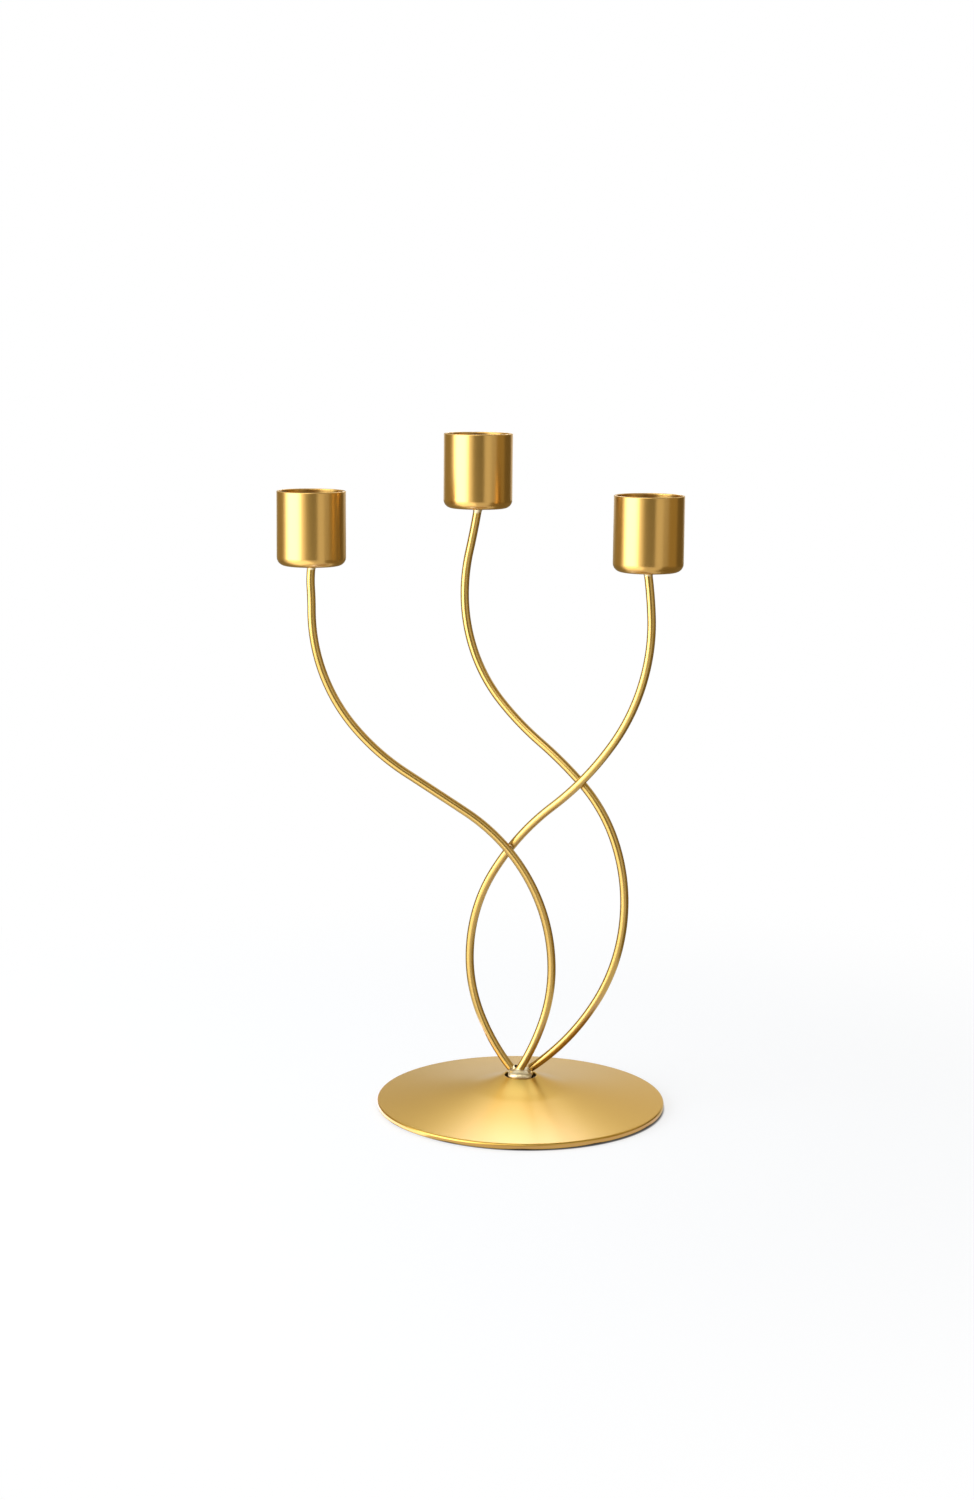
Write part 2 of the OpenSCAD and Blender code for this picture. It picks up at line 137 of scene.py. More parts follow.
def turned(name, outline, middle=(0, 0), bottom=0, turns=288, longest=1.2, on_axis=1e-6):
    """A closed piece turned round an upright axis. Points on the axis become poles, and long
    straight stretches get extra rings. Millimetres."""
    if outline[0].x > 0:
        outline = outline + [outline[0]]
    points = [outline[0]]
    for before, after in zip(outline, outline[1:]):
        parts = max(1, math.ceil((after - before).length / longest))
        points += [before.lerp(after, k / parts) for k in range(1, parts + 1)]
    build = bmesh.new()

    def corner(point, k):
        a = math.tau * k / turns
        across, deep = middle[0] + point.x * math.cos(a), middle[1] + point.x * math.sin(a)
        return build.verts.new((across * MM, deep * MM, (bottom + point.y) * MM))

    rings = []
    for point in points:
        if point.x < on_axis:
            rings.append([corner(point, 0)] * turns)
        else:
            rings.append([corner(point, k) for k in range(turns)])
    for lower, upper in zip(rings, rings[1:]):
        for k in range(turns):
            corners = [lower[k], lower[(k + 1) % turns], upper[(k + 1) % turns], upper[k]]
            corners = [v for n, v in enumerate(corners) if v not in corners[:n]]
            if len(corners) > 2:
                build.faces.new(corners)
    return finished(name, build)


def put(piece, node, material):
    """Hands a finished piece over: it takes this finish, rides on the root body and stands in for its CAD
    node, which is hidden.
    """
    piece.data.materials.clear()
    piece.data.materials.append(material)
    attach(piece, "root")
    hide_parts(node)


class Socket:
    """A socket in a material's nodes. The operators on it add Math nodes, and node() any other."""

    def __init__(self, tree, socket=None):
        self.tree, self.socket = tree, socket

    def node(self, kind, settings=None, inputs=None, output=0):
        made = self.tree.nodes.new("ShaderNode" + kind)
        for name, value in (settings or {}).items():
            setattr(made, name, value)
        for name, value in (inputs or {}).items():
            if isinstance(value, Socket):
                self.tree.links.new(value.socket, made.inputs[name])
            else:
                made.inputs[name].default_value = value
        return Socket(self.tree, made.outputs[output])

    def math(self, operation, *values):
        return self.node("Math", {"operation": operation}, dict(enumerate(values)))

    def __add__(self, other):
        return self.math("ADD", self, other)

    __radd__ = __add__

    def __sub__(self, other):
        return self.math("SUBTRACT", self, other)

    def __rsub__(self, other):
        return self.math("SUBTRACT", other, self)

    def __mul__(self, other):
        return self.math("MULTIPLY", self, other)

    __rmul__ = __mul__

    def __pow__(self, other):
        return self.math("POWER", self, other)


def blend(where, one, other):
    """Mixes two colours by a value."""
    return where.node("Mix", {"data_type": "RGBA"}, {0: where, 6: one, 7: other}, 2)


def new_material(name, finish):
    """A material with one Principled shader of this finish, and a Socket to build its nodes from."""
    material = bpy.data.materials.new(name)
    material.use_nodes = True
    shader = material.node_tree.nodes["Principled BSDF"]
    for socket, value in finish.items():
        shader.inputs[socket].default_value = value
    return material, shader, Socket(material.node_tree)


def feed(shader, name, value):
    value.tree.links.new(value.socket, shader.inputs[name])


def three_ways(start, place):
    """How far a place lies along x, y and z."""
    return [start.node("SeparateXYZ", inputs={0: place}, output=k) for k in range(3)]


def satin_gold(name, lines, colour, rough, finish, relief=0.05, cloud_scale=35, painted_shade_mask=None):
    """Satin gold plating over brushed brass: fine lines that change its gloss and its height a
    little, and a soft cloudiness. lines turns the place on the piece into the lines' own place,
    and the mask of painted shade, when given, says where shade is painted into the gold as a
    dark brown that is also rougher."""
    line_tone, cloud_tone, deeper, paler, lift = 0.6, 0.4, 0.96, 1.04, 0.003
    line_gloss, cloud_gloss, painted_shade_rough, line_height = 0.01, 0.03, 0.3, 0.00002
    painted_shade_brown = (0.045, 0.026, 0.010, 1)
    material, shader, start = new_material(name, {
        "Metallic": 1.0, "Specular Tint": (0.92, 0.84, 0.62, 1), **finish})
    place = start.node("TexCoord", output="Object")
    along = lines(start, place)
    fine = start.node("TexNoise", inputs={"Vector": along, "Scale": 1.0, "Detail": 3.0, "Roughness": 0.6})
    clouds = start.node("TexNoise", inputs={"Vector": place, "Scale": cloud_scale, "Detail": 3.0})
    deep = tuple(deeper * c for c in colour) + (1,)
    pale = tuple(paler * c + lift for c in colour) + (1,)
    gold = blend(fine * line_tone + clouds * cloud_tone, deep, pale)
    gloss = rough - (line_gloss + cloud_gloss) / 2 + fine * line_gloss + clouds * cloud_gloss
    # Painted shade: the gold turns dark brown, and rougher, where the mask says.
    if painted_shade_mask:
        dark = painted_shade_mask(start, place)
        gold = blend(dark, gold, painted_shade_brown)
        gloss = gloss + dark * painted_shade_rough
    feed(shader, "Base Color", gold)
    feed(shader, "Roughness", gloss)
    feed(shader, "Normal", start.node("Bump", inputs={
        "Strength": relief, "Distance": line_height, "Height": fine}))
    return material


def circles(start, place):
    """Lines that run round an upright axis through the origin: close together outwards and up."""
    close, slow = 3500, 60
    x, y, z = three_ways(start, place)
    out = (x * x + y * y) ** 0.5
    return start.node("CombineXYZ", inputs={0: (out + z) * close, 1: x * slow, 2: y * slow})


def pocket_painted_shade(start, place):
    """Painted shade in the gap round the boss: a mask that is 1 within the pocket and below its lip, where
    the gold is painted dark.
    """
    full_r, clean_r, fade = 5.60, 5.85, 0.35
    x, y, z = three_ways(start, place)
    out = (x * x + y * y) ** 0.5
    inside = start.node("MapRange", inputs={
        "Value": out, "From Min": full_r * MM, "From Max": clean_r * MM, "To Min": 1.0, "To Max": 0.0})
    below = start.node("MapRange", inputs={
        "Value": z, "From Min": (lip_z - fade) * MM, "From Max": (lip_z + fade) * MM,
        "To Min": 1.0, "To Max": 0.0})
    return inside * below


def top_side(slope):
    """A point of the plate's top at a slope: one sweep at the neck, and a wider one on the flank."""
    if slope > bend_slope:
        return Vector((pocket_r + neck_sweep_r * (math.sin(neck_slope) - math.sin(slope)),
                       lip_z - neck_sweep_r * (math.cos(slope) - math.cos(neck_slope))))
    return Vector((bend_r + flank_sweep_r * (math.sin(bend_slope) - math.sin(slope)),
                   bend_z - flank_sweep_r * (math.cos(slope) - math.cos(bend_slope))))


def under_side(slope):
    """A point of the plate's underside at a slope, on its one hollow sweep."""
    reach = hollow_r + plate_t
    return Vector((hollow_centre.x - reach * math.sin(slope), hollow_centre.y - reach * math.cos(slope)))


flank_steps, neck_steps, clear = 24, 20, 0.1
top_slopes = [rim_slope + (bend_slope - rim_slope) * k / flank_steps for k in range(1, flank_steps + 1)]
top_slopes += [bend_slope + (neck_slope - bend_slope) * k / neck_steps for k in range(1, neck_steps)]
under_slopes = [neck_slope + (flank_slope - neck_slope) * k / flank_steps for k in range(flank_steps + 1)]
neck_under_r = pocket_r + pocket_wall
neck_under_z = hollow_centre.y - math.sqrt(
    (hollow_r + plate_t) ** 2 - (hollow_centre.x - neck_under_r) ** 2)
plate_corners = [(plate_r, pad_show, foot_round), (plate_r, rim_top, edge_round)]
plate_corners += [(*top_side(slope), 0) for slope in top_slopes]
plate_corners += [
    (pocket_r, lip_z, lip_round), (pocket_r, pocket_z, 0), (spigot_hole_r, pocket_z, 0),
    (spigot_hole_r, under_z, 0), (neck_under_r, under_z, 0), (neck_under_r, neck_under_z, 0)]
plate_corners += [
    (*under_side(slope), 0) for slope in under_slopes if under_side(slope).x > neck_under_r + clear]
# The plate's gold carries painted shade in the gap round the boss.
plate_gold = satin_gold("plate_gold", circles, (0.53, 0.31, 0.05), 0.31, {
    "Anisotropic": 0.2, "Anisotropic Rotation": 0.25, "Coat Weight": 0.35, "Coat Roughness": 0.2},
    painted_shade_mask=pocket_painted_shade)
base_plate = turned("base_plate_pressed", rounded(plate_corners, True))
put(base_plate, "base_plate", plate_gold)

# Pad: a disc of thin black cell foam, glued into the hollow of the plate. Its edge shows as the
# dark line between the plate and the table.
pad_t, pad_r, pad_foot_round, pad_edge_round = 1.4, 50.5, 0.2, 0.15
foam_black, foam_grey = (0.004, 0.004, 0.004, 1), (0.016, 0.015, 0.014, 1)
cell_tone, cloud_tone, foam_rough, foam_uneven = 0.7, 0.5, 0.8, 0.15
pad_edge_z = pad_show + (plate_r - pad_r) * math.tan(flank_slope)
pad_flat_r = plate_r - (pad_t - pad_show) / math.tan(flank_slope)
foam, foam_shader, start = new_material("pad_cell_foam", {"Metallic": 0.0})
place = start.node("TexCoord", output="Object")
cells = start.node("TexVoronoi", inputs={"Vector": place, "Scale": 2600.0})
cloud = start.node("TexNoise", inputs={"Vector": place, "Scale": 90.0, "Detail": 4.0})
feed(foam_shader, "Base Color", blend(cells * cell_tone + cloud * cloud_tone, foam_black, foam_grey))
feed(foam_shader, "Roughness", foam_rough + cloud * foam_uneven)
feed(foam_shader, "Normal", start.node("Bump", inputs={
    "Strength": 0.6, "Distance": 0.0001, "Height": cells}))
base_pad = turned("base_pad_foam", rounded([
    (0, 0, 0), (pad_r, 0, pad_foot_round), (pad_r, pad_edge_z, pad_edge_round),
    (pad_flat_r, pad_t, 0), (0, pad_t, 0)], False))
put(base_pad, "base_pad", foam)

# Hub boss: a small turned brass button that stands in the plate's pocket. Its spigot passes
# through the plate, and the screw from below pulls it down.
boss_r, boss_rise, spigot_r, spigot_short = 4.6, 0.8, 3.0, 0.2
boss_round, foot_break, spigot_round = 0.3, 0.1, 0.15
bore_r, bore_depth = 2.05, 3.4
hub_top = lip_z + boss_rise
spigot_z = under_z + spigot_short
# The boss's gold carries the same painted shade in the gap round it.
boss_gold = satin_gold("boss_gold", circles, (0.61, 0.40, 0.14), 0.3, {}, painted_shade_mask=pocket_painted_shade)
hub_boss = turned("hub_boss_turned", rounded([
    (0, hub_top, 0), (boss_r, hub_top, boss_round), (boss_r, pocket_z, foot_break),
    (spigot_r, pocket_z, 0), (spigot_r, spigot_z, spigot_round), (bore_r, spigot_z, foot_break),
    (bore_r, spigot_z + bore_depth, 0), (0, spigot_z + bore_depth, 0)], False), turns=128, longest=0.5)
put(hub_boss, "hub_boss", boss_gold)

# Arms: three lengths of 3 mm brass wire, each bent in one upright plane and cut square, with the
# ends' edges broken. Stations say how far across and up from the foot the wire passes, and its
# lean there, and two arcs that meet without a kink join each station to the next.
wire_r, wire_sides, wire_sharp = 1.5, 32, 35
end_break, end_width = 0.12, 0.93
arms = {
    "left": {
        "foot": (-0.7, -1.73131), "plane": -3, "lean": 59, "cup": "cup_left", "stations": [
            (11.5, 38, 90), (-20, 96, 147), (-60.5, 126.5, 130), (-75.5, 168, 90), (-75.5, 183.8, 83)]},
    "middle": {
        "foot": (3.7, 0.779866), "plane": -22, "lean": 37, "cup": "cup_middle", "stations": [
            (35, 64.5, 90), (18, 107.5, 135), (-13, 135, 132), (-27.5, 173.5, 90), (-22.7, 203.6, 80)]},
    "right": {
        "foot": (-3.4, 1.0), "plane": -23.5, "lean": 133, "cup": "cup_right", "stations": [
            (-17, 40.5, 90), (15, 99, 39), (50, 153.5, 80), (49.3, 184.3, 99)]},
}


def aim(angle):
    return Vector((math.cos(angle), math.sin(angle)))


def bend_points(start, lean, end, step=0.8, straight=0.003):
    """Points along one arc from start, which leaves at a lean, to end, and its last lean."""
    chord = end - start
    turn = 2 * (math.atan2(chord.y, chord.x) - lean)
    turn = math.atan2(math.sin(turn / 2), math.cos(turn / 2)) * 2
    parts = math.ceil(chord.length / step)
    if abs(turn) < straight:
        points = [start + chord * k / parts for k in range(parts)]
    else:
        side = math.copysign(math.pi / 2, turn)
        radius = chord.length / (2 * math.sin(abs(turn) / 2))
        centre = start + radius * aim(lean + side)
        points = [centre + radius * aim(lean + turn * k / parts - side) for k in range(parts)]
    return points, lean + turn


def wire_path(arm, same_lean=1e-6):
    """The centre line of a bent wire in the part's own place, in millimetres."""
    lean = math.radians(arm["lean"])
    foot_z = hub_top + wire_r * abs(math.cos(lean))
    here, flat = Vector((0, foot_z)), []
    for across, up, wanted in arm["stations"]:
        there, goal = Vector((across, up + foot_z)), math.radians(wanted)
        chord, both = there - here, aim(lean) + aim(goal)
        apart = 2 * (1 - aim(lean).dot(aim(goal)))
        if apart < same_lean:
            pull = chord.dot(chord) / (4 * chord.dot(aim(goal)))
        else:
            pull = (math.sqrt(chord.dot(both) ** 2 + apart * chord.dot(chord)) - chord.dot(both)) / apart
        meeting = (here + there + pull * (aim(lean) - aim(goal))) / 2
        for stop in (meeting, there):
            points, lean = bend_points(here, lean, stop)
            flat += points
            here = stop
    plane = math.radians(arm["plane"])
    return [Vector((arm["foot"][0] + p.x * math.cos(plane), arm["foot"][1] + p.x * math.sin(plane), p.y))
            for p in flat + [here]]


def wire_tree():
    """Nodes that draw a round wire along its path, close its ends and note the place on it."""
    tree = bpy.data.node_groups.new("drawn_wire", "GeometryNodeTree")
    tree.is_modifier = True
    given_kinds = {"Path": "Geometry", "Wire Radius": "Float", "Sides": "Int", "Finish": "Material"}
    for name, kind in given_kinds.items():
        tree.interface.new_socket(name, in_out="INPUT", socket_type="NodeSocket" + kind)
    tree.interface.new_socket("Wire", in_out="OUTPUT", socket_type="NodeSocketGeometry")

    def add(kind, links, **settings):
        made = tree.nodes.new(kind)
        for name, value in settings.items():
            setattr(made, name, value)
        for name, source in links.items():
            if hasattr(source, "node"):
                tree.links.new(source, made.inputs[name])
            else:
                made.inputs[name].default_value = source
        return made.outputs

    given = add("NodeGroupInput", {})
    section = add("GeometryNodeCurvePrimitiveCircle", {
        "Resolution": given["Sides"], "Radius": given["Wire Radius"]})
    around = add("GeometryNodeInputPosition", {})
    section = add("GeometryNodeStoreNamedAttribute", {
        "Geometry": section["Curve"], "Name": "around", "Value": around["Position"]},
        data_type="FLOAT_VECTOR")
    length = add("GeometryNodeSplineParameter", {})
    path = add("GeometryNodeStoreNamedAttribute", {
        "Geometry": given["Path"], "Name": "along", "Value": length["Length"]}, data_type="FLOAT")
    drawn = add("GeometryNodeCurveToMesh", {
        "Curve": path["Geometry"], "Profile Curve": section["Geometry"],
        "Scale": add("GeometryNodeInputRadius", {})["Radius"], "Fill Caps": True})
    whole = add("GeometryNodeRealizeInstances", {"Geometry": drawn["Mesh"]})
    painted = add("GeometryNodeSetMaterial", {
        "Geometry": whole["Geometry"], "Material": given["Finish"]})
    add("NodeGroupOutput", {"Wire": painted["Geometry"]})
    return tree


def wire_lines(start, place):
    """Lines that run along the wire, from the place round it and along it that its mesh keeps."""
    close, slow = 3000, 60
    around = start.node("Attribute", {"attribute_name": "around"}, output="Vector")
    along = start.node("Attribute", {"attribute_name": "along"}, output="Fac")
    x, y, _ = three_ways(start, around)
    return start.node("CombineXYZ", inputs={0: x * close, 1: y * close, 2: along * slow})


wire_gold = satin_gold("wire_gold", wire_lines, (0.50, 0.312, 0.072), 0.285, {
    "Coat Weight": 0.5, "Coat Roughness": 0.1}, relief=0.01, cloud_scale=60)
drawn_wire = wire_tree()
wire_inputs = {s.name: s.identifier for s in drawn_wire.interface.items_tree if s.in_out == "INPUT"}
paths = {}
for side, arm in arms.items():
    points = wire_path(arm)
    first, last = (points[0] - points[1]).normalized(), (points[-1] - points[-2]).normalized()
    stops = [(points[0], end_width), (points[0] - end_break * first, 1.0)]
    stops += [(p, 1.0) for p in points[1:-1]]
    stops += [(points[-1] - end_break * last, 1.0), (points[-1], end_width)]
    paths[side] = points
    curve = bpy.data.curves.new("path_" + side, "CURVE")
    curve.dimensions = "3D"
    spline = curve.splines.new("POLY")
    spline.points.add(len(stops) - 1)
    for point, (where, width) in zip(spline.points, stops):
        point.co = (*(where * MM), 1)
        point.radius = width
    source = placed("path_" + side, curve)
    draw = source.modifiers.new("drawn_wire", "NODES")
    draw.node_group = drawn_wire
    draw[wire_inputs["Wire Radius"]] = wire_r * MM
    draw[wire_inputs["Sides"]] = wire_sides
    draw[wire_inputs["Finish"]] = wire_gold
    view = bpy.context.evaluated_depsgraph_get()
    mesh = bpy.data.meshes.new_from_object(
        source.evaluated_get(view), preserve_all_data_layers=True, depsgraph=view)
    bpy.data.objects.remove(source)
    mesh.name = "arm_%s_bent" % side
    mesh.polygons.foreach_set("use_smooth", [True] * len(mesh.polygons))
    mesh.set_sharp_from_angle(angle=math.radians(wire_sharp))
    put(placed(mesh.name, mesh), "arm_" + side, wire_gold)

# Hub braze: the pale lump run in between the three feet. It lies low on the boss and creeps a
# little way up the wires, and its skin is smooth. Between two feet a small dark spot is painted
# on it as the shade of a little hole there.
shade_spot_place, shade_spot_r, shade_spot_fade = Vector((-1.7, -1.05, hub_top + 2.3)), 0.65, 0.2
braze_dull, braze_pale = (0.54, 0.42, 0.22, 1), (0.68, 0.58, 0.38, 1)
shade_spot_brown = (0.03, 0.02, 0.01, 1)
patch_tone, grain_tone = 0.7, 0.3
braze_rough, grain_uneven, patch_uneven, shade_spot_rough = 0.34, 0.12, 0.06, 0.3
braze_gold, braze_shader, start = new_material("braze_gold", {"Metallic": 1.0})
place = start.node("TexCoord", output="Object")
grain = start.node("TexNoise", inputs={"Vector": place, "Scale": 1500.0, "Detail": 4.0})
patch = start.node("TexNoise", inputs={"Vector": place, "Scale": 260.0, "Detail": 2.0})
# Painted shade: a small dark spot, rougher too, for the shade of a little hole between two feet.
from_shade_spot = start.node("VectorMath", {"operation": "DISTANCE"}, {0: place, 1: shade_spot_place * MM}, 1)
shade_spot = start.node("MapRange", inputs={
    "Value": from_shade_spot, "From Min": (1 - shade_spot_fade) * shade_spot_r * MM,
    "From Max": (1 + shade_spot_fade) * shade_spot_r * MM, "To Min": 1.0, "To Max": 0.0})
clean = blend(patch * patch_tone + grain * grain_tone, braze_dull, braze_pale)
feed(braze_shader, "Base Color", blend(shade_spot, clean, shade_spot_brown))
feed(braze_shader, "Roughness",
     braze_rough + grain * grain_uneven + patch * patch_uneven + shade_spot * shade_spot_rough)
feed(braze_shader, "Normal", start.node("Bump", inputs={
    "Strength": 0.35, "Distance": 0.00005, "Height": grain}))


def capsule(points, a, b, radius_a, radius_b):
    """Distance from points to a bar with round ends."""
    a, b = np.array(a), np.array(b)
    share = np.clip(((points - a) @ (b - a)) / ((b - a) @ (b - a)), 0, 1)
    middles = a + share[:, None] * (b - a)
    return np.linalg.norm(points - middles, axis=1) - (radius_a + share * (radius_b - radius_a))


def flat_ball(points, centre, half_sizes):
    """Roughly the distance from points to a ball that is squashed along the axes."""
    half_sizes = np.array(half_sizes)
    return (np.linalg.norm((points - np.array(centre)) / half_sizes, axis=1) - 1) * half_sizes.min()


def braze(name, centre, shapes, soft, low=None, reach=8.0, uneven=0.06, fineness=6):
    """A lump of braze with one smooth skin over all its shapes, found by going outwards from its
    centre along the rays of a ball. low cuts it flat where it lies on something. Millimetres."""
    strides, halvings, bumps_per_mm, bumps_from = 100, 14, 0.9, Vector((3.1, 7.7, 1.3))
    build = bmesh.new()
    bmesh.ops.create_icosphere(build, subdivisions=fineness, radius=1.0)
    rays = np.array([v.co.normalized()[:] for v in build.verts])
    centre = np.array(centre)

    def skin(far):
        points = centre + rays * far[:, None]
        near = [shape(points) for shape in shapes]
        least = np.minimum.reduce(near)
        whole = -soft * np.log(sum(np.exp(-(d - least) / soft) for d in near)) + least
        return whole if low is None else np.maximum(whole, low - points[:, 2])

    inner, outer = np.zeros(len(rays)), np.full(len(rays), reach)
    for share in np.linspace(1 / strides, 1, strides):
        far = np.full(len(rays), share * reach)
        out = skin(far) > 0
        fresh = out & (outer == reach)
        outer[fresh] = far[fresh]
        inner[~out & (outer == reach)] = far[0]
    for _ in range(halvings):
        half = (inner + outer) / 2
        out = skin(half) > 0
        outer[out], inner[~out] = half[out], half[~out]
    for v, ray, far in zip(build.verts, rays, inner):
        bump = uneven * noise.noise(Vector(centre + ray * far) * bumps_per_mm + bumps_from)
        at = centre + ray * (far + bump * min(1, far))
        if low is not None:
            at[2] = max(at[2], low)
        v.co = Vector(at) * MM
    return finished(name, build, sharp=50)


def up_wire(side, length, thick, thin):
    """The braze that creeps up a wire from its foot, as a bar round the wire's centre line."""
    line = [p for p in paths[side] if (p - paths[side][0]).length <= length]
    return lambda q: capsule(q, line[0], line[-1], thick, thin)


hub_weld = braze("hub_braze", (0.1, -1.0, hub_top + 0.3), [
    lambda q: flat_ball(q, (-0.5, -2.85, hub_top - 0.55), (4.1, 3.0, 1.9)),
    lambda q: flat_ball(q, (1.7, -3.5, hub_top - 0.7), (2.2, 2.0, 1.5)),
    lambda q: flat_ball(q, (1.8, 0.0, hub_top + 0.1), (2.0, 2.2, 1.45)),
    lambda q: flat_ball(q, (-3.0, 0.2, hub_top), (1.7, 1.7, 1.0)),
    lambda q: flat_ball(q, (-1.9, -0.2, hub_top + 0.6), (1.2, 1.2, 1.5)),
    lambda q: flat_ball(q, (-1.9, -0.4, hub_top + 1.95), (0.85, 0.7, 0.9)),
    up_wire("left", 0.9, 1.62, 1.45)], soft=0.22, low=hub_top - 1.5)
put(hub_weld, "hub_weld", braze_gold)

# Cups: three cups drawn from 0.8 mm brass sheet, with a round bottom edge and a rounded mouth.
# They are brushed in circles and plated as the plate is, and hold 22 mm taper candles.
cup_r, cup_wall, cup_h, cup_round, mouth_round = 12.25, 0.8, 26.4, 3.0, 0.36
cup_outline = rounded([
    (0, 0, 0), (cup_r, 0, cup_round), (cup_r, cup_h, mouth_round), (cup_r - cup_wall, cup_h, mouth_round),
    (cup_r - cup_wall, cup_wall, cup_round - cup_wall), (0, cup_wall, 0)], False, steps=10)


def upright_circles(start, place):
    """Lines that run round a cup: close together upwards, slow to change on the way round."""
    close, slow = 4500, 90
    x, y, z = three_ways(start, place)
    return start.node("CombineXYZ", inputs={0: x * slow, 1: y * slow, 2: z * close})


cup_gold = satin_gold("cup_gold", upright_circles, (0.58, 0.335, 0.08), 0.284, {
    "Anisotropic": 0.55, "Anisotropic Rotation": 0.25, "Coat Weight": 0.45, "Coat Roughness": 0.2},
    relief=0.02)
seats = {}
for side, arm in arms.items():
    end, lean = paths[side][-1], math.radians(arm["stations"][-1][2])
    seats[side] = end + Vector((0, 0, wire_r * abs(math.cos(lean))))
    cup = turned("%s_drawn" % arm["cup"], cup_outline, seats[side], seats[side].z, turns=192, longest=1.0)
    put(cup, arm["cup"], cup_gold)

# Cup braze: a thin ring of braze in the corner between each wire and the bottom of its cup. It
# creeps a little way down the wire, and lies flat against the cup.
ring_rise, ring_half_sizes = Vector((0, 0, 0.15)), (2.25, 2.25, 0.62)
creep, creep_thin, creep_thick = 1.1, 1.52, 1.66
ring_centre_drop = Vector((0, 0, -0.3))
cup_rings = []
for side in arms:
    seat, wire_end = seats[side], paths[side][-1]
    heading = (wire_end - paths[side][-3]).normalized()
    ring = braze("braze_" + side, wire_end + ring_centre_drop, [
        lambda q: flat_ball(q, seat + ring_rise, ring_half_sizes),
        lambda q: capsule(q, wire_end - creep * heading, wire_end, creep_thin, creep_thick)],
        soft=0.22, reach=4.0, uneven=0.05, fineness=5)
    for v in ring.data.vertices:
        v.co.z = min(v.co.z, seat.z * MM)
    cup_rings.append(ring)


def joined(name, pieces):
    """One object from several, with all their faces."""
    build = bmesh.new()
    for piece in pieces:
        build.from_mesh(piece.data)
        bpy.data.objects.remove(piece)
    return finished(name, build, sharp=50)


put(joined("cup_braze", cup_rings), "cup_welds", braze_gold)

# Crossing braze: a small spot of braze in the nook where two wires pass each other and touch, at
# the two places where the front view shows arms crossing.
spot_half_sizes, bridge, bridge_r, above_feet = (1.35, 1.15, 1.35), 0.45, 1.1, 60


def nearest(one, other):
    """The two closest points of two wires that pass each other above their feet."""
    upper = [[p for p in paths[side] if p.z > above_feet] for side in (one, other)]
    return min(((p, q) for p in upper[0] for q in upper[1]), key=lambda pq: (pq[0] - pq[1]).length)


spots = []
for one, other in (("left", "right"), ("middle", "right")):
    p, q = nearest(one, other)
    between, gap = (p + q) / 2, (p - q).normalized()
    spots.append(braze("spot_%s_%s" % (one, other), between, [
        lambda c: flat_ball(c, between, spot_half_sizes),
        lambda c: capsule(c, between - bridge * gap, between + bridge * gap, bridge_r, bridge_r)],
        soft=0.15, reach=3.0, uneven=0.08, fineness=5))
put(joined("crossing_braze", spots), "cross_welds", braze_gold)

# Screw and washer: a zinc-plated machine screw with a cross recess and its plain washer, under
# the plate in the hollow above the pad. Their CAD solids stay and get the finish of bright zinc.
zinc_dark, zinc_bright = (0.50, 0.51, 0.53, 1), (0.70, 0.71, 0.72, 1)
zinc_rough, zinc_uneven = 0.24, 0.16
zinc, zinc_shader, start = new_material("bright_zinc", {"Metallic": 1.0})
place = start.node("TexCoord", output="Object")
grain = start.node("TexNoise", inputs={"Vector": place, "Scale": 900.0, "Detail": 4.0})
turning = start.node("TexWave", {"wave_type": "RINGS", "rings_direction": "Z"}, {
    "Vector": place, "Scale": 900.0, "Distortion": 1.5, "Detail": 2.0})
feed(zinc_shader, "Base Color", blend(grain, zinc_dark, zinc_bright))
feed(zinc_shader, "Roughness", zinc_rough + grain * zinc_uneven)
feed(zinc_shader, "Normal", start.node("Bump", inputs={
    "Strength": 0.2, "Distance": 0.00003, "Height": turning}))
for node in ("hub_screw", "hub_washer"):
    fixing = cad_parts[node]
    fixing.data.materials.clear()
    fixing.data.materials.append(zinc)

# Floor: a plain white table top that runs out into the white background. It takes the stand's
# soft shadow, and a contact shadow is painted into its glow: dark under the plate, and ending in a
# thin ring under the rim, set a little to the right.
floor_r, plain_r, white_r = 6.0, 0.12, 0.35
painted_shadow_middle, painted_shadow_r, painted_shadow_end_r = (0.0013, -0.0001, 0), 0.0508, 0.0519
glow_in_painted_shadow, glow_past_painted_shadow = 0.05, 0.73
table_grey, bounce_grey = (0.31, 0.305, 0.295, 1), (0.75, 0.75, 0.75, 1)


def seen(start):
    """1 where the camera looks, also through glass or in a gloss, and 0 for all other light."""
    straight, gloss, through = [
        start.node("LightPath", output="Is %s Ray" % kind) for kind in ("Camera", "Glossy", "Transmission")]
    return straight.math("MAXIMUM", straight, gloss.math("MAXIMUM", gloss, through))


build = bmesh.new()
bmesh.ops.create_circle(build, cap_ends=True, segments=96, radius=floor_r)
floor = placed("floor", as_mesh("floor", build))
table = bpy.data.materials.new("table_white")
table.use_nodes = True
table.node_tree.nodes.clear()
start = Socket(table.node_tree)
place = start.node("TexCoord", output="Object")
away = start.node("VectorMath", {"operation": "LENGTH"}, {0: place}, 1)
far = start.node("MapRange", {"interpolation_type": "SMOOTHSTEP"}, {
    "Value": away, "From Min": plain_r, "From Max": white_r, "To Min": 0.0, "To Max": 1.0})
